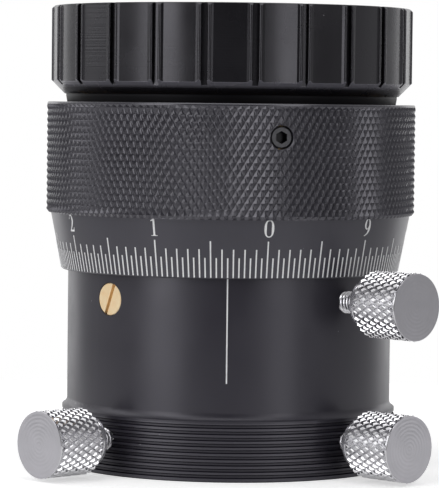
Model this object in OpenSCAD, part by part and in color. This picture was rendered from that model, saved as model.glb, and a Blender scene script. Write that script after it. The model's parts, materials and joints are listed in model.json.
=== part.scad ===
// Two-inch helical focuser for a telescope.
// A fixed body carries a turning focus ring with a scale. Its drive nut raises and lowers a
// keyed drawtube, which ends in a twist-lock collet for the eyepiece.
// Millimetres, +Z up along the optical axis, origin at the centre of the bottom face.
// Azimuth 0 is the index line's side, towards -Y, and grows towards +X.

/* [Body] */
// Outside diameter of the fixed body tube
body_d = 60.4; // [60:0.1:60.5]
// Outside diameter of the ridged bottom flange
flange_d = 62.2; // [62:0.1:62.6]
// Height of the bottom flange below its fillet
flange_h = 10.7; // [10.5:0.1:11]
// Radius of the fillet between flange and body tube
flange_fillet = 1.5; // [1.3:0.1:1.8]
// Number of grip grooves around the flange
grip_grooves = 9; // [0:1:9]
// Spacing of the grip grooves
grip_pitch = 1.11; // [0.9:0.01:1.11]
// Bore of the socket that takes the telescope's spigot
socket_d = 54.1; // [53.5:0.1:54.5]
// Depth of the socket, up to its stop lip
socket_depth = 11.5; // [10.5:0.5:11.5]
// Clear hole through the stop lip
lip_d = 49; // [48:0.5:50]

/* [Focus ring] */
// Outside diameter over the knurl
ring_d = 68.7; // [67.5:0.1:70]
// Height of the ring's top face
ring_top = 67.2; // [67:0.1:67.4]
// Length of the knurled band
knurl_h = 20.5; // [19:0.5:21]
// Scale skirt's diameter below the knurl
skirt_top_d = 67; // [65:0.1:67.2]
// Scale skirt's diameter at its bottom edge
skirt_bottom_d = 62.9; // [61.5:0.1:64]
// Height of the skirt's bottom edge
skirt_z = 36.2; // [35.5:0.1:37]
// Set screws that clamp the ring to its drive nut
set_screws = 3; // [2:1:6]

/* [Drawtube] */
// Travel for one full turn of the focus ring
lead = 10; // [8:0.5:12]
// Scale reading at rest, in millimetres
reading = 0.35; // [0.35:0.05:9.5]
// Outside diameter of the sliding drawtube
tube_d = 54.4; // [54:0.1:54.6]
// Bore for a two-inch eyepiece barrel
eyepiece_d = 50.9; // [50.85:0.01:51]
// Clear aperture below the barrel's stop
aperture_d = 48; // [44:0.5:48]
// Light-trap grooves inside the drawtube
baffle_grooves = 16; // [0:1:16]

/* [Twist lock] */
// Outside diameter over the twist ring's ribs
twist_d = 67.2; // [67:0.1:69]
// Height of the twist ring
twist_h = 16.2; // [16:0.1:16.3]
// Rib pairs around the twist ring
rib_pairs = 23; // [12:1:26]
// Turn from open to locked, in degrees
twist_turn = 60; // [30:5:60]
// Slots in the collet, half from each end
collet_slots = 16; // [8:2:20]

/* [Thumbscrews] */
// Diameter of the knurled heads
head_d = 12; // [10:0.5:12]
// Length of the knurled heads
head_l = 9.9; // [9:0.1:10.5]
// Height of the two socket screws
socket_screw_z = 6.5; // [6.2:0.1:7]
// Height of the lock screw and the guide screw
lock_screw_z = 31.7; // [31:0.1:32]

/* [Hidden] */
$fn = 96;
over = 1;

// Running and sliding clearances between pieces that move on each other
run_gap = 0.05;
slip_gap = 0.02;

// Body
body_r = body_d / 2;
flange_r = flange_d / 2;
socket_r = socket_d / 2;
lip_r = lip_d / 2;
lip_top = socket_depth + 2;
edge = 0.4;
flange_edge = 0.15;
grip_depth = 0.4;
grip_floor = 0.3;
grip_mouth = 0.8;
grip_z = 1.01;
thread_r = 29.6;
thread_z = 52.2;
body_top = 56;
relief_r = 28.2;
relief_z = 47;
relief_slope = 0.9;
guide_r = 3;
guide_slot = 0.7;
guide_slot_tilt = 22;

// Axial stack that holds the focus ring between two thrust washers
washer_t = 0.5;
ring_shoulder = thread_z - washer_t - 2 * run_gap;
retainer_r = 31.2;
nut_z = body_top + washer_t + 2 * run_gap;
nut_top = 66.4;
nut_r = 31.5;
rim = 0.5;
set_screw_z = 61.3;
set_screw_r = 2;
set_screw_sink = 0.65;
set_screw_hex = 2;
groove_half = 1.3;

// Drawtube
tube_r = tube_d / 2;
tube_bore_r = tube_r + run_gap;
barrel_r = eyepiece_d / 2;
aperture_r = aperture_d / 2;
helix_r = 27.95;
rise = reading - 0.35;
tube_z = 14.5 + rise;
helix_z = 48.9 + rise;
seat_z = 66.9 + rise;
tube_top = 72 + rise;
stop_z = 46 + rise;
key_r = 1.95;
key_floor = 25.95;
key_margin = 0.2;
baffle_pitch = 1.5;
baffle_depth = 0.4;
baffle_z = 5;

// Twist lock
clamp_z = 68.7 + rise;
clamp_top = clamp_z + twist_h;
twist_r = twist_d / 2;
twist_bore_r = 30.25;
twist_edge = 0.5;
twist_chamfer_r = 31.15;
twist_chamfer_h = 2.55;
flute_depth = 0.35;
rib_half = 1.1;
rib_foot = 1.6;
rib_drop = 0.2;
bead_r = 0.36;
bead_place = 0.87;
split_half = 0.54;
split_depth = 0.95;
seal_bore_r = 30.9;
base_neck_r = seal_bore_r - run_gap;
base_foot_r = 30.6;
neck_z = clamp_z - 0.4;
shoulder_z = clamp_z + 0.5;
base_r = 30.2;
base_top = 80.5 + rise;
lip_z = 82.75 + rise;
mouth_r = 27.6;
cone_z = 74 + rise;
cone_top = 80.2 + rise;
cone_low_r = 26.6;
cone_high_r = 28.2;
cone_gap = 0.2;
seal_z = 71 + rise;
seal_r = 0.75;
stop_screw_z = 76.5 + rise;
stop_screw_r = 1.2;
collet_r = 25.5;
collet_flange_r = 29.95;
collet_rim_r = 27.3;
collet_slot = 0.8;
collet_bridge = 2.4;
pin_r = 0.6;
pin_place_r = 29.1;
pin_l = 3.7;
pin_sunk = 2;

// Thumbscrews: the distance of a head's inner end from the axis
lock_head_r = 37.3;
left_head_r = 36.7;
right_head_r = 36;
stud_r = 2;
collar_r = 4.5;
collar_l = 0.7;
neck_r = 3.8;
neck_l = 1.6;
head_bevel = 0.4;
pad_r = 1.6;
pad_t = 0.8;
stem_r = 0.8;
stem_l = 1.5;
lock_reach = 9.35;
socket_reach = 8.3;
front_az = 45;

// The ring turns by 36 degrees for each millimetre on the scale
ring_az = reading * 360 / lead;
set_screw_az = 3.3;

// Turns a child's +Z to point outwards at an azimuth and height, with its +Y up
module radial(az, z) {
    rotate([0, 0, az]) translate([0, 0, z]) rotate([90, 0, 0]) children();
}

// Plain round ring between two radii and two heights
module band(inner, outer, low, high) {
    rotate_extrude() translate([inner, low]) square([outer - inner, high - low]);
}

// One trapezoid grip groove, drawn at the flange's surface
module grip_groove() {
    past = 0.1;
    polygon([
        [past, -grip_mouth / 2], [past, grip_mouth / 2],
        [-grip_depth, grip_floor / 2], [-grip_depth, -grip_floor / 2]
    ]);
}

// Half section of the body tube
module body_section() {
    fillet_top = flange_h + flange_fillet;
    difference() {
        polygon([
            [socket_r, 0], [flange_r - flange_edge, 0], [flange_r, flange_edge],
            [flange_r, fillet_top], [body_r, fillet_top], [body_r, thread_z], [thread_r, thread_z],
            [thread_r, body_top - edge], [thread_r - edge, body_top], [relief_r, body_top],
            [relief_r, relief_z], [tube_bore_r, relief_z - relief_slope], [tube_bore_r, lip_top],
            [lip_r, lip_top], [lip_r, socket_depth], [socket_r, socket_depth]
        ]);
        translate([body_r + flange_fillet, fillet_top]) circle(flange_fillet);
        for (i = [0:1:grip_grooves - 1])
            translate([flange_r, grip_z + i * grip_pitch]) grip_groove();
    }
}

module body_tube() {
    wall = body_r - tube_r + 2 * over;
    flange_wall = flange_r - socket_r + 2 * over;
    color("#2b2a2e") difference() {
        rotate_extrude() body_section();
        radial(-front_az, lock_screw_z)
            translate([0, 0, tube_r - over]) cylinder(r = guide_r, h = wall);
        radial(front_az, lock_screw_z)
            translate([0, 0, tube_r - over]) cylinder(r = stud_r + run_gap, h = wall);
        for (side = [-1, 1])
            radial(side * front_az, socket_screw_z)
                translate([0, 0, socket_r - over]) cylinder(r = stud_r + run_gap, h = flange_wall);
    }
}

// Slotted brass screw, whose nose keys the drawtube against turning
module guide_screw() {
    face = body_r - 0.12;
    tip = key_floor + 0.2;
    shank_r = guide_r - slip_gap;
    nose_edge = 0.2;
    face_edge = 0.15;
    slot_depth = 1;
    color("#d8b26a") radial(-front_az, lock_screw_z) difference() {
        rotate_extrude() polygon([
            [0, tip], [key_r - nose_edge, tip], [key_r, tip + nose_edge],
            [key_r, tube_bore_r + run_gap], [shank_r, tube_bore_r + run_gap],
            [shank_r, face - face_edge], [shank_r - face_edge, face], [0, face]
        ]);
        rotate([0, 0, -guide_slot_tilt])
            translate([-guide_slot / 2, -guide_r - over, face - slot_depth])
                cube([guide_slot, 2 * (guide_r + over), slot_depth + over]);
    }
}

// Slotted lock nut on the body's top thread
module ring_retainer() {
    slots = 4;
    slot_w = 2.5;
    slot_depth = 1.2;
    color("#6f7074") difference() {
        band(thread_r, retainer_r, thread_z, body_top);
        for (i = [0:slots - 1])
            rotate([0, 0, i * 360 / slots])
                translate([thread_r - over, -slot_w / 2, body_top - slot_depth])
                    cube([retainer_r - thread_r + 2 * over, slot_w, slot_depth + over]);
    }
}

module lower_thrust_washer() {
    color("#e9e6da")
        band(body_r + 2 * run_gap, retainer_r, ring_shoulder + run_gap, thread_z - run_gap);
}

module upper_thrust_washer() {
    inner_r = 28.8;
    color("#e9e6da") band(inner_r, retainer_r, body_top + run_gap, nut_z - run_gap);
}

// Half section of the focus ring: scale skirt, knurled band and counterbore for the nut
module ring_section() {
    bore_r = body_r + run_gap;
    bore_edge = 0.3;
    skirt_edge = 0.15;
    knurl_z = ring_top - knurl_h;
    ring_r = ring_d / 2;
    polygon([
        [bore_r + bore_edge, skirt_z], [skirt_bottom_d / 2 - skirt_edge, skirt_z],
        [skirt_bottom_d / 2, skirt_z + skirt_edge], [skirt_top_d / 2, knurl_z],
        [ring_r - rim, knurl_z], [ring_r, knurl_z + rim], [ring_r, ring_top - rim],
        [ring_r - rim, ring_top], [nut_r + rim, ring_top], [nut_r, ring_top - rim],
        [nut_r, ring_shoulder], [bore_r, ring_shoulder], [bore_r, skirt_z + bore_edge]
    ]);
}

module focus_ring() {
    hole_r = set_screw_r + slip_gap;
    sink = 0.4;
    past = 0.01;
    color("#2b2a2e") difference() {
        rotate_extrude() ring_section();
        for (i = [0:set_screws - 1])
            radial(ring_az + set_screw_az + i * 360 / set_screws, set_screw_z) {
                translate([0, 0, nut_r - over]) cylinder(r = hole_r, h = ring_d / 2 - nut_r + 2 * over);
                translate([0, 0, ring_d / 2 - sink])
                    cylinder(r1 = hole_r, r2 = hole_r + sink, h = sink + past);
            }
    }
}

// Nut of the focusing helix, with a V groove for the ring's set screws
module drive_nut() {
    outer = nut_r - slip_gap;
    inner = helix_r + run_gap;
    color("#b08d4a") rotate_extrude() polygon([
        [inner, nut_z], [outer - edge, nut_z], [outer, nut_z + edge],
        [outer, set_screw_z - groove_half], [outer - groove_half, set_screw_z],
        [outer, set_screw_z + groove_half], [outer, nut_top - edge], [outer - edge, nut_top],
        [inner, nut_top]
    ]);
}

// Cup of the hexagon socket, cone point and barrel of one set screw
module set_screw(face) {
    tip = nut_r - groove_half + 0.25;
    tip_r = 0.15;
    cone_l = 1;
    face_edge = 0.25;
    hex_depth = 1.5;
    difference() {
        rotate_extrude() polygon([
            [0, tip], [tip_r, tip], [tip_r + cone_l, tip + cone_l], [set_screw_r, tip + cone_l + 0.2],
            [set_screw_r, face - face_edge], [set_screw_r - face_edge, face], [0, face]
        ]);
        translate([0, 0, face - hex_depth]) rotate([0, 0, 30])
            cylinder(d = set_screw_hex / cos(30), h = hex_depth + over, $fn = 6);
    }
}

module ring_set_screws() {
    color("#3a3a3e") for (i = [0:set_screws - 1])
        radial(ring_az + set_screw_az + i * 360 / set_screws, set_screw_z)
            set_screw(ring_d / 2 - set_screw_sink);
}

// Half section of the drawtube: guide length, helix land, spigot thread and barrel stop
module tube_section() {
    past = 0.1;
    baffle_half = 0.55;
    difference() {
        polygon([
            [aperture_r, tube_z], [tube_r - edge, tube_z], [tube_r, tube_z + edge],
            [tube_r, helix_z], [helix_r, helix_z + helix_r - tube_r], [helix_r, seat_z],
            [tube_r, seat_z],
            [tube_r, tube_top - edge], [tube_r - edge, tube_top], [barrel_r, tube_top],
            [barrel_r, stop_z], [aperture_r, stop_z]
        ]);
        for (i = [0:1:baffle_grooves - 1])
            translate([aperture_r, tube_z + baffle_z + i * baffle_pitch])
                polygon([[-past, -baffle_half], [baffle_depth, 0], [-past, baffle_half]]);
    }
}

module drawtube() {
    slot_low = lock_screw_z - key_r - (lead - 0.35) - key_margin + rise;
    slot_high = lock_screw_z + key_r + 0.35 + key_margin + rise;
    width = 2 * (key_r + run_gap);
    cut = tube_r - key_floor + over;
    color("#303034") difference() {
        rotate_extrude() tube_section();
        radial(-front_az, 0) translate([0, 0, key_floor]) {
            translate([-width / 2, slot_low + width / 2, 0])
                cube([width, slot_high - slot_low - width, cut]);
            for (y = [slot_low + width / 2, slot_high - width / 2])
                translate([0, y, 0]) cylinder(d = width, h = cut);
        }
    }
}

// Screwed onto the drawtube: visible neck, seal groove, twist thread and cone seat
module clamp_base() {
    seal_floor_r = base_r - seal_r - 0.1;
    groove_half_h = seal_r + run_gap;
    floor_z = cone_z - 0.7;
    top_edge = 0.3;
    color("#232226") difference() {
        rotate_extrude() polygon([
            [tube_r, seat_z], [base_foot_r, seat_z], [base_neck_r, neck_z],
            [base_neck_r, shoulder_z], [base_r, shoulder_z], [base_r, seal_z - groove_half_h],
            [seal_floor_r, seal_z - groove_half_h], [seal_floor_r, seal_z + groove_half_h],
            [base_r, seal_z + groove_half_h], [base_r, base_top - top_edge],
            [base_r - top_edge, base_top], [cone_high_r + cone_gap, base_top],
            [cone_high_r + cone_gap, cone_top], [cone_low_r + cone_gap, cone_z],
            [cone_low_r + cone_gap, floor_z], [barrel_r, floor_z], [barrel_r, tube_top],
            [tube_r, tube_top]
        ]);
        radial(180, stop_screw_z) cylinder(r = stop_screw_r, h = base_r + over);
        collet_pin_places()
            translate([0, 0, base_top - pin_sunk]) cylinder(r = pin_r, h = pin_sunk + over);
    }
}

// Rubber ring that keeps dust out and gives the twist ring its drag
module twist_seal() {
    color("#1a1a1a") rotate_extrude() translate([base_r - 0.1, seal_z]) circle(seal_r);
}

// Dog screw that runs in the twist ring's arc groove and ends its turn
module twist_stop_screw() {
    inner_end = 28.2;
    screw_l = 2.9;
    hex = 1.3;
    hex_depth = 1;
    color("#8c8c90") radial(180, stop_screw_z) translate([0, 0, inner_end]) difference() {
        cylinder(r = stop_screw_r, h = screw_l);
        translate([0, 0, screw_l - hex_depth]) rotate([0, 0, 30])
            cylinder(d = hex / cos(30), h = hex_depth + over, $fn = 6);
    }
}

// The two places where pins key the collet to its base
module collet_pin_places() {
    slot_step = 360 / collet_slots;
    for (side = [0, 180])
        rotate([0, 0, side + slot_step / 2]) translate([pin_place_r, 0, 0]) children();
}

module collet_pins() {
    color("#b9b9bd") collet_pin_places()
        translate([0, 0, base_top - pin_sunk]) cylinder(r = pin_r, h = pin_l);
}

// Split brass collet with slots from both ends in turn
module collet() {
    flange_z = base_top + 0.4;
    flange_top = lip_z - run_gap;
    rim_top = clamp_top - 0.6;
    rim_edge = 0.3;
    lead_in = 0.8;
    step = 360 / collet_slots;
    inner = collet_r - over;
    cut = collet_flange_r - collet_r + 2 * over;
    low_slot_h = flange_top - cone_z - 1.5;
    color("#cda75c") difference() {
        rotate_extrude() polygon([
            [collet_r, cone_z], [cone_low_r, cone_z], [cone_high_r, cone_top],
            [cone_high_r, flange_z], [collet_flange_r, flange_z], [collet_flange_r, flange_top],
            [collet_rim_r, flange_top], [collet_rim_r, rim_top - rim_edge],
            [collet_rim_r - rim_edge, rim_top], [collet_r + lead_in, rim_top],
            [collet_r, rim_top - lead_in]
        ]);
        for (i = [0:collet_slots / 2 - 1]) {
            rotate([0, 0, 2 * i * step])
                translate([inner, -collet_slot / 2, cone_z - over])
                    cube([cut, collet_slot, low_slot_h + over]);
            rotate([0, 0, (2 * i + 1) * step])
                translate([inner, -collet_slot / 2, cone_z + collet_bridge])
                    cube([cut, collet_slot, rim_top - cone_z]);
        }
        collet_pin_places()
            translate([0, 0, flange_z - over]) cylinder(r = pin_r + 0.1, h = pin_l);
    }
}

// Cross section of the twist ring: shallow flutes between pairs of ribs, each pair split by
// a groove between rounded lips
module fluted_section() {
    floor_r = twist_r - flute_depth;
    root = floor_r - 0.4;
    past = 0.1;
    difference() {
        union() {
            circle(floor_r);
            for (i = [0:rib_pairs - 1])
                rotate(i * 360 / rib_pairs) {
                    polygon([
                        [-rib_foot, root], [rib_foot, root], [rib_foot, floor_r - run_gap],
                        [rib_half, twist_r - rib_drop], [-rib_half, twist_r - rib_drop],
                        [-rib_foot, floor_r - run_gap]
                    ]);
                    for (side = [-1, 1])
                        translate([side * bead_place, twist_r - bead_r]) circle(bead_r);
                }
        }
        for (i = [0:rib_pairs - 1])
            rotate(i * 360 / rib_pairs)
                translate([-split_half, twist_r - split_depth])
                    square([2 * split_half, split_depth + past]);
    }
}

// Half section of the twist ring, with its thread bore, seal bore and inward lip
module twist_section() {
    bore_edge = 0.1;
    past = twist_r + 0.05;
    mouth_edge = 0.8;
    seal_bore_top = seal_z + 2 * seal_r;
    polygon([
        [seal_bore_r, clamp_z + bore_edge], [seal_bore_r + bore_edge, clamp_z],
        [twist_chamfer_r, clamp_z], [past, clamp_z + twist_chamfer_h],
        [past, clamp_top - twist_edge], [past - twist_edge, clamp_top],
        [mouth_r + mouth_edge, clamp_top], [mouth_r, clamp_top - mouth_edge],
        [mouth_r, lip_z], [twist_bore_r, lip_z], [twist_bore_r, seal_bore_top],
        [seal_bore_r, seal_bore_top]
    ]);
}

module twist_ring() {
    play = 3;
    groove_half_h = stop_screw_r + 0.5;
    groove_r = twist_bore_r + 1.1;
    color("#2b2a2e") difference() {
        intersection() {
            translate([0, 0, clamp_z]) linear_extrude(twist_h) rotate(180 + 180 / rib_pairs)
                fluted_section();
            rotate_extrude() twist_section();
        }
        rotate([0, 0, 90 - play]) rotate_extrude(angle = twist_turn + 2 * play)
            translate([twist_bore_r - over, stop_screw_z - groove_half_h])
                square([groove_r - twist_bore_r + over, 2 * groove_half_h]);
    }
}

// Knurled thumbscrew along +Z: threaded stud, collar, neck and head.
// reach runs from the pad's tip to the head's inner end, at head_r from the axis.
module thumbscrew(head_r, reach) {
    tip = head_r - reach + pad_t;
    face = head_r + head_l;
    collar_top = head_r - neck_l;
    collar_z = collar_top - collar_l;
    collar_mid = (collar_z + collar_top) / 2;
    groove = 0.16;
    small = 0.3;
    fine = 0.1;
    r = head_d / 2;
    difference() {
        rotate_extrude() polygon([
            [0, tip], [stud_r - small, tip], [stud_r, tip + small], [stud_r, collar_z],
            [collar_r - fine, collar_z], [collar_r, collar_z + fine],
            [collar_r, collar_mid - groove], [collar_r - groove, collar_mid],
            [collar_r, collar_mid + groove], [collar_r, collar_top - fine],
            [collar_r - fine, collar_top], [neck_r, collar_top],
            [neck_r, head_r], [r - small, head_r], [r, head_r + small],
            [r, face - head_bevel], [r - head_bevel, face], [0, face]
        ]);
        translate([0, 0, tip - over]) cylinder(r = stem_r + run_gap, h = stem_l + 0.2 + over);
    }
}

// Brass pad in the stud's end, which stays still while the screw turns
module pad(head_r, reach) {
    tip = head_r - reach;
    tip_edge = 0.2;
    shoulder = tip + pad_t - run_gap;
    stem_top = tip + pad_t + stem_l;
    rotate_extrude() polygon([
        [0, tip], [pad_r - tip_edge, tip], [pad_r, tip + tip_edge], [pad_r, shoulder],
        [stem_r, shoulder], [stem_r, stem_top], [0, stem_top]
    ]);
}

module lock_screw() {
    color("#b4b5b8") radial(front_az, lock_screw_z) thumbscrew(lock_head_r, lock_reach);
}

module lock_pad() {
    color("#d8b26a") radial(front_az, lock_screw_z) pad(lock_head_r, lock_reach);
}

module left_socket_screw() {
    color("#b4b5b8") radial(-front_az, socket_screw_z) thumbscrew(left_head_r, socket_reach);
}

module left_socket_pad() {
    color("#d8b26a") radial(-front_az, socket_screw_z) pad(left_head_r, socket_reach);
}

module right_socket_screw() {
    color("#b4b5b8") radial(front_az, socket_screw_z) thumbscrew(right_head_r, socket_reach);
}

module right_socket_pad() {
    color("#d8b26a") radial(front_az, socket_screw_z) pad(right_head_r, socket_reach);
}

body_tube();
guide_screw();
ring_retainer();
lower_thrust_washer();
upper_thrust_washer();
focus_ring();
drive_nut();
ring_set_screws();
drawtube();
clamp_base();
twist_seal();
twist_stop_screw();
collet_pins();
collet();
twist_ring();
lock_screw();
lock_pad();
left_socket_screw();
left_socket_pad();
right_socket_screw();
right_socket_pad();
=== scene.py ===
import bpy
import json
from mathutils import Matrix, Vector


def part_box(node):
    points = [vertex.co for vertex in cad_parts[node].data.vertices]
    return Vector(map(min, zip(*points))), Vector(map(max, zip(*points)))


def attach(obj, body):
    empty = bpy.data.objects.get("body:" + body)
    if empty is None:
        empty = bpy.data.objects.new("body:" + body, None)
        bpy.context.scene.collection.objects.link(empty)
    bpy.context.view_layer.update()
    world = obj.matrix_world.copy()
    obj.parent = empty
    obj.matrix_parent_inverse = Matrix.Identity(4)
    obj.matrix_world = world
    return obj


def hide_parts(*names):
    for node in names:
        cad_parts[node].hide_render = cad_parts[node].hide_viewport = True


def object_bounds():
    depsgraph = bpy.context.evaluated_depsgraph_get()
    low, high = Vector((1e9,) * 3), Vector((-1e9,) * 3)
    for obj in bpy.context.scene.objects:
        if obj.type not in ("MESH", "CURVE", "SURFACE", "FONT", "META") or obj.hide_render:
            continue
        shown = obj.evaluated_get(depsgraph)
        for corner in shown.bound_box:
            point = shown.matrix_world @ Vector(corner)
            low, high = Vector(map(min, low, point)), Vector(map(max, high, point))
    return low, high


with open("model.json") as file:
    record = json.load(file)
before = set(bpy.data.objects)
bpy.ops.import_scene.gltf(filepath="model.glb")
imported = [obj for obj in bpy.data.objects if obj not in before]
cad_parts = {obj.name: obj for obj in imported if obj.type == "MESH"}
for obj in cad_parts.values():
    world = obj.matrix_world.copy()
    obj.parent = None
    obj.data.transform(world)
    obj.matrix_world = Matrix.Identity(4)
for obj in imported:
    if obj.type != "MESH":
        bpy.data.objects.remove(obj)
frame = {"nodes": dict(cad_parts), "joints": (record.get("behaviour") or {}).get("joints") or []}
cad_box = [list(corner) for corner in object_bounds()]

import json
import math

import bmesh
import bpy
from mathutils import Matrix, Vector

# ---------------------------------------------------------------- Body tube
# The fixed body is turned from an aluminium bar, with nine grip grooves round its bottom flange.
# It is fine blasted and then anodised black, which gives a dark satin skin with faint turning
# lines that only show where light grazes it.
mm = 0.001
nodes = frame["nodes"]


def linear(hex_colour):
    """An sRGB hex colour as linear red, green, blue and alpha."""
    values = []
    for start in (1, 3, 5):
        value = int(hex_colour[start:start + 2], 16) / 255
        values.append(value / 12.92 if value <= 0.04045 else ((value + 0.055) / 1.055) ** 2.4)
    return (*values, 1.0)


def add_node(tree, kind, inputs=None, **settings):
    """Adds a shader node with its settings, and sets or links its inputs."""
    node = tree.nodes.new(kind)
    for name, value in settings.items():
        setattr(node, name, value)
    for socket, value in (inputs or {}).items():
        if isinstance(value, bpy.types.NodeSocket):
            tree.links.new(value, node.inputs[socket])
        else:
            node.inputs[socket].default_value = value
    return node


def new_material(name):
    """An empty material and its node tree."""
    material = bpy.data.materials.new(name)
    material.use_nodes = True
    material.node_tree.nodes.clear()
    return material, material.node_tree


def give_finish(material, *names):
    """Puts a finish on CAD nodes, whose shape stays as it is."""
    for name in names:
        for material_slot in nodes[name].material_slots:
            material_slot.material = material


def radius_of(tree, place):
    """The distance of a place from the optical axis, which is Z."""
    flat = add_node(tree, "ShaderNodeVectorMath", {0: place, 1: (1, 1, 0)}, operation="MULTIPLY")
    length = add_node(tree, "ShaderNodeVectorMath", {0: flat.outputs[0]}, operation="LENGTH")
    return length.outputs["Value"]


def anodised(name, dye, dye_worn, roughness, turning, depth, ior=1.65):
    """Black anodised aluminium: the dyed oxide is a clear film over black, so it gives a pale
    sheen and no metal colour. Turning lines, handling and specks of dust break the sheen."""
    patch_size = 9 * mm
    roughness_swing = 0.04
    dust_spacing = 3.2 * mm
    dust_radius = 0.032 * dust_spacing
    dusty_share = 0.35
    material, tree = new_material(name)
    place = add_node(tree, "ShaderNodeTexCoord").outputs["Object"]
    height = add_node(tree, "ShaderNodeSeparateXYZ", {0: place}).outputs["Z"]
    lines = add_node(tree, "ShaderNodeTexNoise", {
        "W": height, "Scale": 1 / turning, "Detail": 2.0}, noise_dimensions="1D")
    patches = add_node(tree, "ShaderNodeTexNoise", {
        "Vector": place, "Scale": 1 / patch_size, "Detail": 3.0})
    cells = add_node(tree, "ShaderNodeTexVoronoi", {"Vector": place, "Scale": 1 / dust_spacing})
    near = add_node(tree, "ShaderNodeMath", {
        0: cells.outputs["Distance"], 1: dust_radius / dust_spacing}, operation="LESS_THAN")
    pick = add_node(tree, "ShaderNodeSeparateColor", {0: cells.outputs["Color"]})
    few = add_node(tree, "ShaderNodeMath", {
        0: pick.outputs["Red"], 1: dusty_share}, operation="LESS_THAN")
    dust = add_node(tree, "ShaderNodeMath", {
        0: near.outputs[0], 1: few.outputs[0]}, operation="MULTIPLY")
    black = add_node(tree, "ShaderNodeMix", {
        "Factor": patches.outputs[0], "A": linear(dye), "B": linear(dye_worn)},
        data_type="RGBA")
    colour = add_node(tree, "ShaderNodeMix", {
        "Factor": dust.outputs[0], "A": black.outputs["Result"], "B": linear("#77767a")},
        data_type="RGBA")
    rough = add_node(tree, "ShaderNodeMapRange", {
        "Value": patches.outputs[0], "From Min": 0.3, "From Max": 0.7,
        "To Min": roughness - roughness_swing, "To Max": roughness + roughness_swing})
    bump = add_node(tree, "ShaderNodeBump", {
        "Height": lines.outputs[0], "Strength": 1.0, "Distance": depth})
    shader = add_node(tree, "ShaderNodeBsdfPrincipled", {
        "Base Color": colour.outputs["Result"], "Roughness": rough.outputs[0], "IOR": ior,
        "Specular Tint": linear("#f5f3fd"), "Normal": bump.outputs[0]})
    add_node(tree, "ShaderNodeOutputMaterial", {"Surface": shader.outputs[0]})
    return material


# Satin black: blasted before it was dyed, so it is a soft violet black that never mirrors.
# Its turning lines are 0.1 mm apart, drawn at 0.35 mm.
satin_look = ("#1f1d25", "#25232b", 0.37, 0.35 * mm, 0.0025 * mm)
satin_anodised = anodised("satin_black_anodised_aluminium", *satin_look)
# Its grip ridges get painted light through the specular level. A painted highlight raises it on their
# crests, and painted shade drops it to nothing on their flanks, so the flange reads as fine pale lines
# on black.
flange_radius = 31.1 * mm
ridges_top = 10.5 * mm
groove_depth = 0.4 * mm
edge_width = 0.03 * mm
plain_sheen = 0.5
crest_painted_highlight = 0.72
flank_painted_shade = 0.0
tree = satin_anodised.node_tree
place = add_node(tree, "ShaderNodeTexCoord").outputs["Object"]
height = add_node(tree, "ShaderNodeSeparateXYZ", {0: place}).outputs["Z"]
radius = radius_of(tree, place)
low = add_node(tree, "ShaderNodeMath", {0: height, 1: ridges_top}, operation="LESS_THAN")
crest = add_node(tree, "ShaderNodeMath", {
    0: radius, 1: flange_radius - edge_width}, operation="GREATER_THAN")
flank = add_node(tree, "ShaderNodeMath", {
    0: radius, 1: flange_radius - groove_depth / 2, 2: groove_depth / 2 - edge_width},
    operation="COMPARE")
painted_shade_drop = add_node(tree, "ShaderNodeMath", {
    0: flank.outputs[0], 1: flank_painted_shade - plain_sheen}, operation="MULTIPLY")
painted_light_change = add_node(tree, "ShaderNodeMath", {
    0: crest.outputs[0], 1: crest_painted_highlight - plain_sheen, 2: painted_shade_drop.outputs[0]},
    operation="MULTIPLY_ADD")
# Below the ridges' top, the painted highlight and painted shade replace the plain specular level.
ridge_sheen_with_painted_light = add_node(tree, "ShaderNodeMath", {
    0: painted_light_change.outputs[0], 1: low.outputs[0], 2: plain_sheen}, operation="MULTIPLY_ADD")
coat = next(node for node in tree.nodes if node.bl_idname == "ShaderNodeBsdfPrincipled")
tree.links.new(ridge_sheen_with_painted_light.outputs[0], coat.inputs["Specular IOR Level"])
give_finish(satin_anodised, "body_tube")

# ------------------------------------------------------------- Index line
# The reading line is engraved 0.24 mm wide down the front of the body and filled with white
# paint, from low on the tube to just beneath the scale skirt.
index_width = 0.24 * mm
index_low = 17.5 * mm
index_high = 36.9 * mm
paint_film = 0.03 * mm
body_radius = 30.2 * mm


def finished(name, mesh, material, body):
    """Makes a bmesh an object that rides on a body, with its sharp edges left sharp."""
    sharp = math.radians(25)
    for face in mesh.faces:
        face.smooth = True
    for edge in mesh.edges:
        if len(edge.link_faces) == 2 and edge.calc_face_angle() > sharp:
            edge.smooth = False
    data = bpy.data.meshes.new(name)
    mesh.to_mesh(data)
    mesh.free()
    data.materials.append(material)
    piece = bpy.data.objects.new(name, data)
    bpy.context.scene.collection.objects.link(piece)
    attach(piece, body)
    return piece


# White marking paint: flat pigment wiped into the engraving, a little uneven at its edges.
white_paint, tree = new_material("white_engraving_paint")
paint_grain = 0.25 * mm
place = add_node(tree, "ShaderNodeTexCoord").outputs["Object"]
grain = add_node(tree, "ShaderNodeTexNoise", {
    "Vector": place, "Scale": 1 / paint_grain, "Detail": 2.0})
pigment = add_node(tree, "ShaderNodeMix", {
    "Factor": grain.outputs[0], "A": linear("#e2e2e4"), "B": linear("#fbfbfb")},
    data_type="RGBA")
shader = add_node(tree, "ShaderNodeBsdfPrincipled", {
    "Base Color": pigment.outputs["Result"], "Roughness": 0.55})
add_node(tree, "ShaderNodeOutputMaterial", {"Surface": shader.outputs[0]})

mesh = bmesh.new()
bmesh.ops.create_cube(mesh, size=1, matrix=Matrix.LocRotScale(
    (0, -body_radius, (index_low + index_high) / 2), None,
    (index_width, paint_film, index_high - index_low)))
finished("index_line", mesh, white_paint, "body")

# ----------------------------------------------------------- Guide screw
# A slotted brass screw, set flush in the body, whose nose keys the drawtube. Its face was
# turned, so it has fine rings round its own axis, and the slot has taken a driver once or twice.
joints = {joint["name"]: joint for joint in frame["joints"]}
guide_azimuth = 45
screw_height = joints["lock_screw_turn"]["pos_m"][2]

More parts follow.
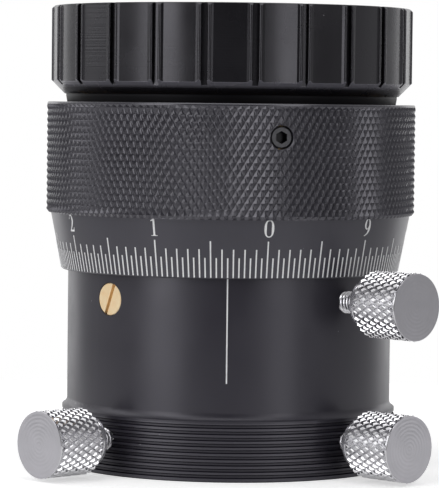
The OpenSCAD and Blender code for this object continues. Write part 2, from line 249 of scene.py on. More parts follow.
# Turned brass: warm yellow metal with fine rings that spread the light, drawn 0.3 mm apart.
guide_brass, tree = new_material("turned_brass_screw_face")
ring_spacing = 0.3 * mm
place = add_node(tree, "ShaderNodeTexCoord").outputs["Object"]
turned_place = add_node(tree, "ShaderNodeMapping", {
    "Vector": place, "Location": (0, 0, -screw_height),
    "Rotation": (0, 0, math.radians(-guide_azimuth))})
rings = add_node(tree, "ShaderNodeTexWave", {
    "Vector": turned_place.outputs[0], "Scale": 1 / (2 * math.pi * ring_spacing),
    "Distortion": 1.5, "Detail": 1.0},
    wave_type="RINGS", rings_direction="Y")
tarnish = add_node(tree, "ShaderNodeTexNoise", {
    "Vector": place, "Scale": 1 / (1.2 * mm), "Detail": 3.0})
tone = add_node(tree, "ShaderNodeMix", {
    "Factor": tarnish.outputs[0], "A": linear("#f6d3a0"), "B": linear("#fff0d0")},
    data_type="RGBA")
bump = add_node(tree, "ShaderNodeBump", {
    "Height": rings.outputs["Fac"], "Strength": 1.0, "Distance": 0.004 * mm})
shader = add_node(tree, "ShaderNodeBsdfPrincipled", {
    "Base Color": tone.outputs["Result"], "Metallic": 1.0, "Roughness": 0.55,
    "Normal": bump.outputs[0]})
add_node(tree, "ShaderNodeOutputMaterial", {"Surface": shader.outputs[0]})
give_finish(guide_brass, "guide_screw")

# ------------------------------------------- Lock nut and thrust washers
# The slotted lock nut on the body's top thread is plain turned aluminium. The two washers that
# the focus ring turns on are punched from PTFE sheet. All three are hidden when assembled.

# Plain turned aluminium: pale grey metal with clear turning rings across its flat faces.
plain_aluminium, tree = new_material("plain_turned_aluminium")
place = add_node(tree, "ShaderNodeTexCoord").outputs["Object"]
rings = add_node(tree, "ShaderNodeTexWave", {
    "Vector": place, "Scale": 1 / (2 * math.pi * 0.25 * mm), "Distortion": 0.6},
    wave_type="RINGS", rings_direction="Z")
bump = add_node(tree, "ShaderNodeBump", {
    "Height": rings.outputs["Fac"], "Strength": 1.0, "Distance": 0.003 * mm})
shader = add_node(tree, "ShaderNodeBsdfPrincipled", {
    "Base Color": linear("#c6c7ca"), "Metallic": 1.0, "Roughness": 0.32,
    "Normal": bump.outputs[0]})
add_node(tree, "ShaderNodeOutputMaterial", {"Surface": shader.outputs[0]})
give_finish(plain_aluminium, "ring_retainer")

# PTFE sheet: waxy white plastic, slightly mottled, never quite matt.
ptfe, tree = new_material("white_ptfe_sheet")
place = add_node(tree, "ShaderNodeTexCoord").outputs["Object"]
mottle = add_node(tree, "ShaderNodeTexNoise", {
    "Vector": place, "Scale": 1 / (2.5 * mm), "Detail": 2.0})
tone = add_node(tree, "ShaderNodeMix", {
    "Factor": mottle.outputs[0], "A": linear("#e3e0d6"), "B": linear("#f1efe8")},
    data_type="RGBA")
shader = add_node(tree, "ShaderNodeBsdfPrincipled", {
    "Base Color": tone.outputs["Result"], "Roughness": 0.42, "IOR": 1.36})
add_node(tree, "ShaderNodeOutputMaterial", {"Surface": shader.outputs[0]})
give_finish(ptfe, "lower_thrust_washer", "upper_thrust_washer")

# ------------------------------------------------------------ Focus ring
# The ring is turned from aluminium, diamond knurled at 30 degrees over its top band, cut back
# to a plain conical skirt for the scale, and anodised black like the body.
ring_low, ring_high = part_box("focus_ring")
ring_radius = 34.35 * mm
knurl_low = 46.7 * mm
knurl_depth = 0.38 * mm
ring_diamonds = 150
ring_knurl_rows = 17
ring_crest = 0.1
ring_notch = 0.68
ring_bore = 30.25 * mm
nut_bore = 31.5 * mm
nut_seat = 51.6 * mm
skirt_low_radius = 31.45 * mm
skirt_high_radius = 33.5 * mm
ring_rim = 0.5 * mm
bore_edge = 0.3 * mm
skirt_edge = 0.15 * mm
knurl_margin = 0.35 * mm
top_inset = 0.05 * mm
top_bevel = 0.2 * mm
ring_zero = -joints["focus_ring_turn"]["range_deg"][0]


def knurled(outline, columns, crest, notch=1.0):
    """A turned skin of rows (radius, height, cut) that goes round in columns. A row with a cut
    is part of a diamond knurl: every other point on it lies that much deeper, and crest is the
    share of each point that is left flat. The grooves that climb to the left are only notch
    times as deep as those that climb to the right."""
    mesh = bmesh.new()
    steps = len(outline) - 1
    bmesh.ops.create_grid(mesh, x_segments=columns, y_segments=steps, size=0.5)
    points = []
    for vert in mesh.verts:
        column = round((vert.co.x + 0.5) * columns)
        row = round((vert.co.y + 0.5) * steps)
        radius, height, cut = outline[row]
        if cut and (row + column) % 2:
            radius -= cut
        elif cut:
            radius += cut * crest / (1 - crest)
            points.append(vert)
        turn = 2 * math.pi * column / columns
        vert.co = (radius * math.sin(turn), -radius * math.cos(turn), height)
    # On the knurl each face has two high corners and two low ones. It is split between the low
    # ones, or poked if its groove is to be shallow. The faces of plain bands stay whole.
    notched = []
    for face in list(mesh.faces):
        a, b, c, d = face.verts
        lean = (a.co.xy.length + c.co.xy.length) - (b.co.xy.length + d.co.xy.length)
        if abs(lean) < 0.05 * mm:
            continue
        high, low = ((a, c), (b, d)) if lean > 0 else ((b, d), (a, c))
        climb = high[1].co - high[0].co
        middle = high[0].co + climb / 2
        if notch < 1 and climb.z * (climb.y * middle.x - climb.x * middle.y) > 0:
            notched.append(face)
        else:
            bmesh.utils.face_split(face, *low)
    for centre in bmesh.ops.poke(mesh, faces=notched)["verts"]:
        reach = [edge.other_vert(centre).co.xy.length for edge in centre.link_edges]
        depth = notch * (max(reach) - min(reach))
        centre.co.xy *= (max(reach) - depth) / centre.co.xy.length
    # The first and last columns meet, and each high point is cut flat.
    bmesh.ops.remove_doubles(mesh, verts=mesh.verts[:], dist=0.001 * mm)
    points = [vert for vert in points if vert.is_valid]
    bmesh.ops.bevel(mesh, geom=points, offset=100 * crest, offset_type="PERCENT",
                    affect="VERTICES", segments=1, profile=0.5, material=-1)
    bmesh.ops.recalc_face_normals(mesh, faces=mesh.faces[:])
    return mesh


def drilled(piece, cutters):
    """Cuts each (radius low, radius high, length, matrix) cone out of a piece."""
    mesh = bmesh.new()
    for low, high, length, matrix in cutters:
        bmesh.ops.create_cone(mesh, cap_ends=True, segments=48, radius1=low, radius2=high,
                              depth=length, matrix=matrix)
    data = bpy.data.meshes.new("cutter")
    mesh.to_mesh(data)
    mesh.free()
    cutter = bpy.data.objects.new("cutter", data)
    bpy.context.scene.collection.objects.link(cutter)
    cut = piece.modifiers.new("drill", "BOOLEAN")
    cut.operation = "DIFFERENCE"
    cut.solver = "EXACT"
    cut.object = cutter
    depsgraph = bpy.context.evaluated_depsgraph_get()
    whole = piece.data
    piece.data = bpy.data.meshes.new_from_object(piece.evaluated_get(depsgraph))
    piece.data.name = whole.name
    piece.modifiers.clear()
    bpy.data.objects.remove(cutter)
    bpy.data.meshes.remove(whole)


def outward(azimuth, distance, height):
    """Turns +Z outwards at an azimuth from the front, with +Y up."""
    turn = Matrix.Rotation(math.radians(azimuth), 4, "Z")
    return turn @ Matrix.Translation((0, -distance, height)) @ Matrix.Rotation(
        math.radians(90), 4, "X")


valley = ring_radius - knurl_depth
outline = [
    (nut_bore, ring_high.z - ring_rim, 0), (nut_bore, nut_seat, 0), (ring_bore, nut_seat, 0),
    (ring_bore, ring_low.z + bore_edge, 0), (ring_bore + bore_edge, ring_low.z, 0),
    (skirt_low_radius - skirt_edge, ring_low.z, 0),
    (skirt_low_radius, ring_low.z + skirt_edge, 0), (skirt_high_radius, knurl_low, 0),
    (valley - top_inset, knurl_low, 0)]
row_height = (ring_high.z - knurl_margin - knurl_low) / ring_knurl_rows
outline += [(ring_radius, knurl_low + row_height * (row + 0.5), knurl_depth)
            for row in range(ring_knurl_rows)]
outline += [
    (ring_radius - top_inset, ring_high.z - 2 * top_bevel, 0),
    (ring_radius - top_inset, ring_high.z - top_bevel, 0),
    (ring_radius - top_inset - top_bevel, ring_high.z, 0),
    (nut_bore + ring_rim, ring_high.z, 0), outline[0]]
mesh = knurled(outline, 2 * ring_diamonds, ring_crest, ring_notch)

# Handled black: the same film where fingers turn it, so it is a little paler than the body.
handled_anodised = anodised("handled_black_anodised_aluminium", "#302f35", "#39383f", 0.33,
                            0.35 * mm, 0.0025 * mm)
# Knurled black: cutting left the facets bright, and some of that shine shows through the dye.
knurl_anodised = anodised("knurled_black_anodised_aluminium", "#29282d", "#36353b", 0.24,
                          0.35 * mm, 0.008 * mm, ior=1.78)
focus_ring = finished("knurled_focus_ring", mesh, handled_anodised, "focus_ring")
# The knurl's finish goes on the outside faces above the skirt.
focus_ring.data.materials.append(knurl_anodised)
for face in focus_ring.data.polygons:
    outside = face.center.xy.length > valley - 0.1 * mm
    face.material_index = int(outside and face.center.z > knurl_low)

# Three holes are drilled and countersunk through the knurl for the set screws.
set_screws = 3
set_screw_azimuth = 3.3
set_screw_height = 61.3 * mm
hole_radius = 2.12 * mm
countersink = 0.4 * mm
drill_length = 5 * mm
drill_middle = ring_radius - 1.5 * mm
bores = []
sinks = []
for screw in range(set_screws):
    azimuth = ring_zero + set_screw_azimuth + screw * 360 / set_screws
    bores.append((hole_radius, hole_radius, drill_length,
                  outward(azimuth, drill_middle, set_screw_height)))
    sinks.append((hole_radius - countersink, hole_radius + countersink, 2 * countersink,
                  outward(azimuth, ring_radius - countersink, set_screw_height)))
drilled(focus_ring, bores)
drilled(focus_ring, sinks)
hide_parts("focus_ring")

# Black oxide steel: the set screws' own colour, a thin dark skin that lets some metal through.
# Closer to the axis than the screws' faces, down in the sockets, it is coloured near black as painted
# shade.
painted_shade_radius = 33.45 * mm
black_oxide, tree = new_material("black_oxide_steel")
place = add_node(tree, "ShaderNodeTexCoord").outputs["Object"]
blotch = add_node(tree, "ShaderNodeTexNoise", {
    "Vector": place, "Scale": 1 / (0.6 * mm), "Detail": 2.0})
skin = add_node(tree, "ShaderNodeMix", {
    "Factor": blotch.outputs[0], "A": linear("#3e3e41"), "B": linear("#565659")},
    data_type="RGBA")
# Painted shade: all that lies nearer the axis than this radius gets the near black colour.
sunk_painted_shade = add_node(tree, "ShaderNodeMath", {
    0: radius_of(tree, place), 1: painted_shade_radius}, operation="LESS_THAN")
tone = add_node(tree, "ShaderNodeMix", {
    "Factor": sunk_painted_shade.outputs[0], "A": skin.outputs["Result"], "B": linear("#1c1c1e")},
    data_type="RGBA")
shader = add_node(tree, "ShaderNodeBsdfPrincipled", {
    "Base Color": tone.outputs["Result"], "Metallic": 0.7, "Roughness": 0.38})
add_node(tree, "ShaderNodeOutputMaterial", {"Surface": shader.outputs[0]})
give_finish(black_oxide, "ring_set_screws")

# ----------------------------------------------------------------- Scale
# Two hundred graduations and ten numerals are engraved round the skirt and filled with white
# paint. A long mark stands at each numeral and half way between. Of the rest, the even ones are
# longer than the odd ones.
tick_width = 0.25 * mm
tick_start = 0.2 * mm
tick_lengths = {"long": 6.65 * mm, "even": 5.15 * mm, "odd": 3.6 * mm}
ticks = 200
long_tick_step = 10
skirt_height = knurl_low - ring_low.z
slope = math.atan2(skirt_high_radius - skirt_low_radius, skirt_height)


def on_skirt(azimuth, along):
    """A place on the skirt at a distance along its slope from its bottom edge, +Z up the slope
    and -Y outwards."""
    start = Matrix.Translation((0, -skirt_low_radius, ring_low.z))
    lean = Matrix.Rotation(slope, 4, "X")
    return (Matrix.Rotation(math.radians(azimuth), 4, "Z") @ start @ lean
            @ Matrix.Translation((0, 0, along)))


mesh = bmesh.new()
for tick in range(ticks):
    kind = "long" if tick % long_tick_step == 0 else "odd" if tick % 2 else "even"
    length = tick_lengths[kind]
    place = on_skirt(ring_zero - tick * 360 / ticks, tick_start + length / 2)
    bmesh.ops.create_cube(mesh, size=1, matrix=place @ Matrix.Diagonal(
        (tick_width, 2 * paint_film, length, 1)))
finished("scale_marks", mesh, white_paint, "focus_ring")

# Each numeral is drawn 100 high as a closed outline of points, with its openings after a slash.
# A point with a ! is a corner, and the others are smooth.
drawn_height = 100
numerals = {
    "0": "27,100 55,50 27,0 -1,50 / 27,94 41,50 27,6 13,50",
    "1": "9,86! 27,100! 33,100! 33,9! 36,4 47,3! 47,0! 9,0! 9,3! 19,4 22,9! 22,83! 19,86 11,83!",
    "2": "3,72! 25,100 45,74 38,44 14,11! 37,11 43,14 47,24! 51,24! 45,0! 2,0! 2,3! 27,44 33,70"
         " 21,91 7,71!",
    "3": "4,80! 24,100 42,79 30,56! 47,30 20,-1 1,6! 4,12! 19,4 35,28 13,49! 13,52! 31,74 20,92"
         " 8,78!",
    "4": "33,100! 40,100! 40,36! 51,36! 51,26! 40,26! 40,0! 28,0! 28,26! 1,26! 1,36!"
         " / 28,36! 28,82! 7,36!",
    "5": "16,98! 45,98! 41,87! 19,87! 15,74! 46,34 14,0 1,6! 4,12! 17,6 33,30 5,57!",
    "6": "46,100! 14,82 2,40 26,-1 50,31 31,62 17,55! 27,84 46,97! / 27,4 38,28 27,56 15,44"
         " 16,20",
    "7": "4,98! 51,98! 51,94! 23,-1! 15,-1! 40,87! 16,87! 8,83 4,75! 1,76!",
    "8": "26,100 44,79 31,55! 49,25 26,-1 4,25 20,51! 9,78 / 26,95 34,78 27,60! 18,78 / 25,46!"
         " 15,24 27,4 38,23",
    "9": "6,0! 38,18 50,60 26,101 2,69 21,38 35,45! 25,16 6,3! / 25,96 14,72 25,44 37,56 36,80",
}
numeral_height = 3.2 * mm
numeral_foot = 7.58 * mm
numeral_middle = 26

mesh = bmesh.new()
for digit, outlines in numerals.items():
    curve = bpy.data.curves.new("numeral_" + digit, "CURVE")
    curve.dimensions = "2D"
    curve.fill_mode = "BOTH"
    curve.extrude = drawn_height * paint_film / numeral_height
    curve.resolution_u = 5
    for text in outlines.split("/"):
        points = text.split()
        spline = curve.splines.new("BEZIER")
        spline.bezier_points.add(len(points) - 1)
        spline.use_cyclic_u = True
        for point, words in zip(spline.bezier_points, points):
            x, y = words.rstrip("!").split(",")
            point.co = (float(x), float(y), 0)
            kind = "VECTOR" if words.endswith("!") else "AUTO"
            point.handle_left_type = kind
            point.handle_right_type = kind
    drawing = bpy.data.objects.new("numeral_" + digit, curve)
    bpy.context.scene.collection.objects.link(drawing)
    depsgraph = bpy.context.evaluated_depsgraph_get()
    flat = bpy.data.meshes.new_from_object(drawing.evaluated_get(depsgraph))
    bpy.data.objects.remove(drawing)
    azimuth = ring_zero - int(digit) * 360 / len(numerals)
    stand = Matrix.Rotation(math.radians(90), 4, "X")
    flat.transform(on_skirt(azimuth, numeral_foot) @ stand
                   @ Matrix.Scale(numeral_height / drawn_height, 4)
                   @ Matrix.Translation((-numeral_middle, 0, 0)))
    mesh.from_mesh(flat)
    bpy.data.meshes.remove(flat)
bmesh.ops.remove_doubles(mesh, verts=mesh.verts[:], dist=0.0005 * mm)
bmesh.ops.recalc_face_normals(mesh, faces=mesh.faces[:])
finished("scale_numerals", mesh, white_paint, "focus_ring")

# ------------------------------------------------------- Drive nut and drawtube
# The drive nut is turned brass, and mostly hidden. The drawtube is aluminium, anodised black all over,
# with light-trap grooves inside it so that no stray light reaches the eyepiece.

# Machined brass: yellow metal with turning rings round the optical axis.
brass, tree = new_material("machined_brass")
place = add_node(tree, "ShaderNodeTexCoord").outputs["Object"]
rings = add_node(tree, "ShaderNodeTexWave", {
    "Vector": place, "Scale": 1 / (2 * math.pi * 0.25 * mm), "Distortion": 0.6},
    wave_type="RINGS", rings_direction="Z")
tarnish = add_node(tree, "ShaderNodeTexNoise", {
    "Vector": place, "Scale": 1 / (4 * mm), "Detail": 3.0})
tone = add_node(tree, "ShaderNodeMix", {
    "Factor": tarnish.outputs[0], "A": linear("#b98f4e"), "B": linear("#dcb878")},
    data_type="RGBA")
bump = add_node(tree, "ShaderNodeBump", {
    "Height": rings.outputs["Fac"], "Strength": 1.0, "Distance": 0.002 * mm})
shader = add_node(tree, "ShaderNodeBsdfPrincipled", {
    "Base Color": tone.outputs["Result"], "Metallic": 1.0, "Roughness": 0.28,
    "Normal": bump.outputs[0]})
add_node(tree, "ShaderNodeOutputMaterial", {"Surface": shader.outputs[0]})
give_finish(brass, "drive_nut")

# Threaded black: the same film on the drawtube, whose land carries the left-hand, five-start
# focusing helix. Its flanks catch the light in slanting lines as the drawtube rises out of the ring.
helix_starts = 5
helix_lead = 10 * mm
helix_pitch = helix_lead / helix_starts
helix_low_radius = 27.9 * mm
helix_depth = 0.5 * mm
threaded_anodised = anodised("threaded_black_anodised_aluminium", *satin_look)
tree = threaded_anodised.node_tree
place = add_node(tree, "ShaderNodeTexCoord").outputs["Object"]
parts = add_node(tree, "ShaderNodeSeparateXYZ", {0: place})
turned = add_node(tree, "ShaderNodeMath", {
    0: parts.outputs["Y"], 1: parts.outputs["X"]}, operation="ARCTAN2")
turned = add_node(tree, "ShaderNodeMath", {
    0: turned.outputs[0], 1: helix_starts}, operation="MULTIPLY")
climb = add_node(tree, "ShaderNodeMath", {
    0: parts.outputs["Z"], 1: 2 * math.pi / helix_pitch}, operation="MULTIPLY")
wave = add_node(tree, "ShaderNodeMath", {
    0: climb.outputs[0], 1: turned.outputs[0]}, operation="ADD")
wave = add_node(tree, "ShaderNodeMath", {0: wave.outputs[0]}, operation="SINE")
on_land = add_node(tree, "ShaderNodeMath", {
    0: radius_of(tree, place), 1: helix_low_radius}, operation="GREATER_THAN")
wave = add_node(tree, "ShaderNodeMath", {
    0: wave.outputs[0], 1: on_land.outputs[0]}, operation="MULTIPLY")
fine_bump = next(node for node in tree.nodes if node.bl_idname == "ShaderNodeBump")
flanks = add_node(tree, "ShaderNodeBump", {
    "Height": wave.outputs[0], "Strength": 1.0, "Distance": helix_depth / 2})
tree.links.new(flanks.outputs[0], fine_bump.inputs["Normal"])
give_finish(threaded_anodised, "drawtube")

# ------------------------------------------------------------- Twist lock
# The neck is screwed onto the drawtube and holds the split brass collet in its cone. The fluted
# ring turns on it and pushes the collet down. Both are turned from aluminium and anodised black,
# the ring bright dipped first for its gloss. The neck is coloured near black with a weak sheen, as
# painted shade.

# Glossy black: near mirror black, with fine turning lines that smear each light up and down.
# The lines are 0.05 mm apart, drawn at 0.3 mm.
glossy_anodised = anodised("glossy_black_anodised_aluminium", "#0d0c0f", "#131215", 0.26,
                           0.3 * mm, 0.02 * mm)
# Its lower bevel gets painted light: beside the flutes it is coloured pale grey as a painted
# reflection, fading to the dye towards the neck, so a grey rim parts the ring from the neck's painted
# shade.
bevel_foot = 31.15 * mm
bevel_slope = 0.98
bevel_tolerance = 0.08 * mm
painted_light_starts = 1.0 * mm
painted_light_full = 1.6 * mm
ring_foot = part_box("twist_ring")[0].z
tree = glossy_anodised.node_tree
place = add_node(tree, "ShaderNodeTexCoord").outputs["Object"]
height = add_node(tree, "ShaderNodeSeparateXYZ", {0: place}).outputs["Z"]
radius = radius_of(tree, place)
cone = add_node(tree, "ShaderNodeMath", {
    0: height, 1: -bevel_slope, 2: bevel_slope * ring_foot}, operation="MULTIPLY_ADD")
cone = add_node(tree, "ShaderNodeMath", {0: cone.outputs[0], 1: radius})
on_bevel = add_node(tree, "ShaderNodeMath", {
    0: cone.outputs[0], 1: bevel_foot, 2: bevel_tolerance}, operation="COMPARE")
painted_light_ramp = add_node(tree, "ShaderNodeMapRange", {
    "Value": radius, "From Min": bevel_foot + painted_light_starts,
    "From Max": bevel_foot + painted_light_full})
painted_light_share = add_node(tree, "ShaderNodeMath", {
    0: on_bevel.outputs[0], 1: painted_light_ramp.outputs[0]}, operation="MULTIPLY")
coat = next(node for node in tree.nodes if node.bl_idname == "ShaderNodeBsdfPrincipled")
dyed = coat.inputs["Base Color"].links[0].from_socket
# The bevel's painted reflection is mixed into the dye here.
painted_light_colour = add_node(tree, "ShaderNodeMix", {
    "Factor": painted_light_share.outputs[0], "A": dyed, "B": linear("#5c5b62")}, data_type="RGBA")
tree.links.new(painted_light_colour.outputs["Result"], coat.inputs["Base Color"])
give_finish(glossy_anodised, "twist_ring")

# Painted shade on the neck: it is coloured near black and given a weak sheen, so it reads as a shadow.
neck_painted_shade = anodised("flat_black_anodised_aluminium", "#0a0a0b", "#111012", 0.5, 0.35 * mm,
                      0.002 * mm, ior=1.25)
give_finish(neck_painted_shade, "clamp_base")
give_finish(brass, "collet")
give_finish(black_oxide, "twist_stop_screw")

# Ground steel: the two dowel pins, bright and smooth with a faint grain.
ground_steel, tree = new_material("ground_steel_pin")
place = add_node(tree, "ShaderNodeTexCoord").outputs["Object"]
grain = add_node(tree, "ShaderNodeTexNoise", {
    "Vector": place, "Scale": 1 / (0.2 * mm), "Detail": 2.0})
rough = add_node(tree, "ShaderNodeMapRange", {
    "Value": grain.outputs[0], "To Min": 0.18, "To Max": 0.3})
shader = add_node(tree, "ShaderNodeBsdfPrincipled", {
    "Base Color": linear("#c2c3c6"), "Metallic": 1.0, "Roughness": rough.outputs[0]})
add_node(tree, "ShaderNodeOutputMaterial", {"Surface": shader.outputs[0]})
give_finish(ground_steel, "collet_pins")

# Nitrile rubber: dull black, with the bloom that a greased seal gets.
rubber, tree = new_material("nitrile_rubber")
place = add_node(tree, "ShaderNodeTexCoord").outputs["Object"]
bloom = add_node(tree, "ShaderNodeTexNoise", {
    "Vector": place, "Scale": 1 / (3 * mm), "Detail": 3.0})
tone = add_node(tree, "ShaderNodeMix", {
    "Factor": bloom.outputs[0], "A": linear("#141414"), "B": linear("#2a2a2b")},
    data_type="RGBA")
shader = add_node(tree, "ShaderNodeBsdfPrincipled", {
    "Base Color": tone.outputs["Result"], "Roughness": 0.6, "IOR": 1.52})
add_node(tree, "ShaderNodeOutputMaterial", {"Surface": shader.outputs[0]})
give_finish(rubber, "twist_seal")

# ------------------------------------------------------------ Thumbscrews
# Three alike: a stainless M4 screw with a collar, pressed into a diamond knurled head whose face
# is turned flat. One locks the drawtube and two clamp the telescope's spigot.
head_radius = 6 * mm
head_length = 9.9 * mm
head_diamonds = 28
head_knurl_rows = 8
head_knurl_depth = 0.4 * mm
head_crest = 0.48
rim_height = 0.4 * mm
rim_edge = 0.1 * mm
rim_inset = 0.02 * mm
fine_edge = 0.1 * mm
stud_radius = 2 * mm
thread_depth = 0.43 * mm
thread_pitch = 0.7 * mm
thread_steps = 28
collar_radius = 4.5 * mm
collar_length = 0.7 * mm
groove_width = 0.32 * mm
groove_radius = 4.02 * mm
neck_radius = 3.8 * mm
neck_length = 1.6 * mm
cut_spacing = 0.35 * mm

for name, joint_name, azimuth in (
        ("lock_screw", "lock_screw_turn", 45),
        ("left_socket_screw", "left_screw_turn", -45),
        ("right_socket_screw", "right_screw_turn", 45)):
    height = joints[joint_name]["pos_m"][2]
    axis = Vector(joints[joint_name]["axis"])
    reach = [vert.co.dot(axis) for vert in nodes[name].data.vertices]
    tip, face = min(reach), max(reach)

    # Stainless steel: bright grey metal. The knurl is as bright as it was rolled, and the face is
    # rougher and coloured darker as painted shade, with the rings of its last cut 0.12 mm apart and
    # drawn at 0.35 mm.
    steel, tree = new_material("turned_stainless_" + name)
    place = add_node(tree, "ShaderNodeTexCoord").outputs["Object"]
    turned_place = add_node(tree, "ShaderNodeMapping", {
        "Vector": place, "Location": (0, 0, -height),
        "Rotation": (0, 0, math.radians(-azimuth))})
    rings = add_node(tree, "ShaderNodeTexWave", {
        "Vector": turned_place.outputs[0], "Scale": 1 / (2 * math.pi * cut_spacing),
        "Distortion": 0.8, "Detail": 1.0},
        wave_type="RINGS", rings_direction="Y")
    smudge = add_node(tree, "ShaderNodeTexNoise", {
        "Vector": place, "Scale": 1 / (3.5 * mm), "Detail": 3.0})
    outwards = add_node(tree, "ShaderNodeSeparateXYZ", {0: turned_place.outputs[0]}).outputs["Y"]
    on_face = add_node(tree, "ShaderNodeMath", {
        0: outwards, 1: 0.05 * mm - face}, operation="LESS_THAN").outputs[0]
    burnished = add_node(tree, "ShaderNodeMix", {
        "Factor": smudge.outputs[0], "A": linear("#e4e4e7"), "B": linear("#efeef1")},
        data_type="RGBA")
    # Painted shade: the face gets a darker grey than the knurl.
    face_painted_shade = add_node(tree, "ShaderNodeMix", {
        "Factor": smudge.outputs[0], "A": linear("#bcbbc0"), "B": linear("#cccad0")},
        data_type="RGBA")
    tone = add_node(tree, "ShaderNodeMix", {
        "Factor": on_face, "A": burnished.outputs["Result"], "B": face_painted_shade.outputs["Result"]},
        data_type="RGBA")
    rough = add_node(tree, "ShaderNodeMapRange", {
        "Value": on_face, "To Min": 0.2, "To Max": 0.3})
    bump = add_node(tree, "ShaderNodeBump", {
        "Height": rings.outputs["Fac"], "Strength": 1.0, "Distance": 0.01 * mm})
    shader = add_node(tree, "ShaderNodeBsdfPrincipled", {
        "Base Color": tone.outputs["Result"], "Metallic": 1.0, "Roughness": rough.outputs[0],
        "Normal": bump.outputs[0]})
    add_node(tree, "ShaderNodeOutputMaterial", {"Surface": shader.outputs[0]})

    inner = face - head_length
    collar_top = inner - neck_length
    collar_low = collar_top - collar_length
    collar_middle = (collar_low + collar_top) / 2
    knurl_start = inner + fine_edge
    knurl_end = face - rim_height - 0.05 * mm
    outline = [
        (0, collar_low, 0), (collar_radius - fine_edge, collar_low, 0),
        (collar_radius, collar_low + fine_edge, 0),
        (collar_radius, collar_middle - groove_width / 2, 0),
        (groove_radius, collar_middle - groove_width / 2, 0),
        (groove_radius, collar_middle + groove_width / 2, 0),
        (collar_radius, collar_middle + groove_width / 2, 0),
        (collar_radius, collar_top - fine_edge, 0), (collar_radius - fine_edge, collar_top, 0),
        (neck_radius, collar_top, 0), (neck_radius, inner, 0),
        (head_radius - head_knurl_depth - fine_edge, inner, 0)]
    row_height = (knurl_end - knurl_start) / head_knurl_rows
    outline += [(head_radius, knurl_start + row_height * row, head_knurl_depth)
                for row in range(head_knurl_rows + 1)]
    outline += [
        (head_radius - rim_edge, face - rim_height, 0),
        (head_radius - rim_inset, face - rim_height + rim_edge, 0),
        (head_radius - rim_inset, face - rim_edge + rim_inset, 0),
        (head_radius - rim_edge, face, 0), (0, face, 0)]
    mesh = knurled(outline, 2 * head_diamonds, head_crest)

    # The stud's thread is one tooth swept up a helix, then cut square at both ends. The tooth's
    # points are (radius, share of the pitch).
    stud = bmesh.new()
    turns = math.ceil((collar_low - tip) / thread_pitch) + 2
    root = stud_radius - thread_depth
    foot = tip - thread_pitch
    tooth = [stud.verts.new((radius, 0, foot + share * thread_pitch)) for radius, share in (
        (root, 0), (root, 0.1), (stud_radius, 0.48), (stud_radius, 0.6), (root, 1.0))]
    edges = [stud.edges.new(pair) for pair in zip(tooth, tooth[1:])]
    bmesh.ops.spin(stud, geom=tooth + edges, cent=(0, 0, 0), axis=(0, 0, 1),
                   dvec=(0, 0, thread_pitch / thread_steps), angle=2 * math.pi * turns,
                   steps=thread_steps * turns, use_merge=False)
    bmesh.ops.remove_doubles(stud, verts=stud.verts[:], dist=0.001 * mm)
    for cut, keep in ((tip, 1), (collar_low + 0.05 * mm, -1)):
        bmesh.ops.bisect_plane(stud, geom=stud.verts[:] + stud.edges[:] + stud.faces[:],
                               plane_co=(0, 0, cut), plane_no=(0, 0, -keep), clear_outer=True)
        rim = [edge for edge in stud.edges
               if edge.is_boundary and abs(edge.verts[0].co.z - cut) < 0.002 * mm
               and abs(edge.verts[1].co.z - cut) < 0.002 * mm]
        bmesh.ops.contextual_create(stud, geom=rim)
    bmesh.ops.recalc_face_normals(stud, faces=stud.faces[:])
    data = bpy.data.meshes.new("stud")
    stud.to_mesh(data)
    stud.free()
    mesh.from_mesh(data)
    bpy.data.meshes.remove(data)
    mesh.transform(outward(azimuth, 0, height))
    thumbscrew = finished("knurled_" + name, mesh, steel, name)
    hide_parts(name)
give_finish(brass, "lock_pad", "left_socket_pad", "right_socket_pad")

# ------------------------------------------------- Table, light and camera
# The focuser stands on a round table of matt white board, in a white studio: a strip box on
# each side in front and behind, a white card at its left, a large box overhead, and the pale
# room around it.
floor_radius = 0.16
floor_gap = 0.02 * mm
light_in_metal = 0.1
light_to_camera = 0.45

# Matt white board, with a little light of its own, as if a white sweep lay under it.
white_board, tree = new_material("matt_white_board")
path = add_node(tree, "ShaderNodeLightPath")
seen = add_node(tree, "ShaderNodeMath", {
    0: path.outputs["Is Glossy Ray"], 1: path.outputs["Is Transmission Ray"]}, operation="ADD")
mirrored = add_node(tree, "ShaderNodeMath", {
    0: seen.outputs[0], 1: light_in_metal}, operation="MULTIPLY")
direct = add_node(tree, "ShaderNodeMath", {
    0: path.outputs["Is Camera Ray"], 1: light_to_camera}, operation="MULTIPLY")
lift = add_node(tree, "ShaderNodeMath", {0: mirrored.outputs[0], 1: direct.outputs[0]})
shader = add_node(tree, "ShaderNodeBsdfPrincipled", {
    "Base Color": linear("#e9e9e9"), "Roughness": 0.9, "Emission Color": (1, 1, 1, 1),
    "Emission Strength": lift.outputs[0]})
add_node(tree, "ShaderNodeOutputMaterial", {"Surface": shader.outputs[0]})
mesh = bmesh.new()
bmesh.ops.create_circle(mesh, cap_ends=True, radius=floor_radius, segments=96,
                        matrix=Matrix.Translation((0, 0, cad_box[0][2] - floor_gap)))
data = bpy.data.meshes.new("table_top")
mesh.to_mesh(data)
mesh.free()
data.materials.append(white_board)
floor = bpy.data.objects.new("table_top", data)
bpy.context.scene.collection.objects.link(floor)

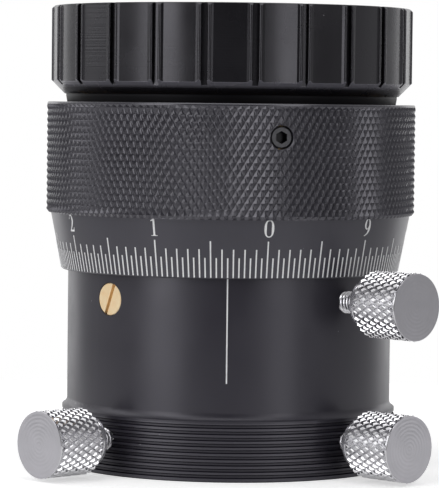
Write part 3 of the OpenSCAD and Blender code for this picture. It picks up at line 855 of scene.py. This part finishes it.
# The room is dim in front of the focuser and pale behind it. Each stop is (share of the way
# from front to back, grey level).
world = bpy.data.worlds.new("pale_studio")
bpy.context.scene.world = world
world.use_nodes = True
tree = world.node_tree
tree.nodes.clear()
direction = add_node(tree, "ShaderNodeTexCoord").outputs["Generated"]
depth = add_node(tree, "ShaderNodeSeparateXYZ", {0: direction}).outputs["Y"]
share = add_node(tree, "ShaderNodeMapRange", {
    "Value": depth, "From Min": -1.0, "From Max": 1.0})
room = add_node(tree, "ShaderNodeValToRGB", {"Fac": share.outputs[0]})
room.color_ramp.elements[0].position = 0.0
room.color_ramp.elements[0].color = (0.08, 0.08, 0.085, 1)
room.color_ramp.elements[1].position = 1.0
room.color_ramp.elements[1].color = (1, 1, 1, 1)
for stop, level in ((0.2, 0.14), (0.42, 0.36), (0.55, 0.42), (0.75, 0.47), (0.92, 0.58)):
    room.color_ramp.elements.new(stop).color = (level, level, level * 1.01, 1)
path = add_node(tree, "ShaderNodeLightPath")
backdrop = add_node(tree, "ShaderNodeMath", {
    0: path.outputs["Is Glossy Ray"], 1: path.outputs["Is Transmission Ray"]}, operation="ADD")
behind = add_node(tree, "ShaderNodeMath", {0: depth, 1: 0.9}, operation="GREATER_THAN")
backdrop = add_node(tree, "ShaderNodeMath", {
    0: backdrop.outputs[0], 1: behind.outputs[0]}, operation="MULTIPLY")
white = add_node(tree, "ShaderNodeMath", {
    0: path.outputs["Is Camera Ray"], 1: backdrop.outputs[0]}, operation="ADD")
sky = add_node(tree, "ShaderNodeMix", {
    "Factor": white.outputs[0], "A": room.outputs["Color"], "B": (1, 1, 1, 1)},
    data_type="RGBA")
background = add_node(tree, "ShaderNodeBackground", {"Color": sky.outputs["Result"]})
add_node(tree, "ShaderNodeOutputWorld", {"Surface": background.outputs[0]})

# Each soft box is (name, azimuth, distance, middle height, width, height, radiance).
aim = Vector((0, 0, 0.045))
for name, azimuth, distance, middle, width, height, radiance in (
        ("left_strip", -45, 0.5, 0.22, 0.24, 0.66, 2.3),
        ("left_card", -92, 0.55, 0.34, 0.3, 0.5, 1.1),
        ("right_strip", 36, 0.5, 0.22, 0.16, 0.66, 2.0),
        ("back_left_strip", -140, 0.55, 0.15, 0.18, 0.4, 1.1),
        ("back_right_strip", 140, 0.55, 0.15, 0.18, 0.4, 1.1)):
    lamp = bpy.data.lights.new(name, "AREA")
    lamp.shape = "RECTANGLE"
    lamp.size = width
    lamp.size_y = height
    lamp.energy = radiance * math.pi * width * height
    box = bpy.data.objects.new(name, lamp)
    turn = math.radians(azimuth)
    box.location = (distance * math.sin(turn), -distance * math.cos(turn), middle)
    box.rotation_euler = (aim - box.location).to_track_quat("-Z", "Y").to_euler()
    bpy.context.scene.collection.objects.link(box)
overhead_size = 0.5
overhead_radiance = 1.3
lamp = bpy.data.lights.new("overhead_box", "AREA")
lamp.shape = "SQUARE"
lamp.size = overhead_size
lamp.energy = overhead_radiance * math.pi * overhead_size ** 2
box = bpy.data.objects.new("overhead_box", lamp)
box.location = (0, -0.05, 0.6)
bpy.context.scene.collection.objects.link(box)

# A long lens at a low height, as for a catalogue picture, turned a little about its own axis.
camera = bpy.data.cameras.new("camera")
camera.lens = 212.5
camera.sensor_width = 36
camera.clip_start = 0.02
viewer = bpy.data.objects.new("camera", camera)
viewer.location = (0.00564, -0.53897, 0.0672)
look = Vector((-0.00193, 0, 0.04085)) - viewer.location
roll = math.radians(0.65)
viewer.rotation_euler = (look.to_track_quat("-Z", "Y").to_matrix()
                         @ Matrix.Rotation(roll, 3, "Z")).to_euler()
bpy.context.scene.collection.objects.link(viewer)
bpy.context.scene.camera = viewer
bpy.context.scene.view_settings.view_transform = "Standard"
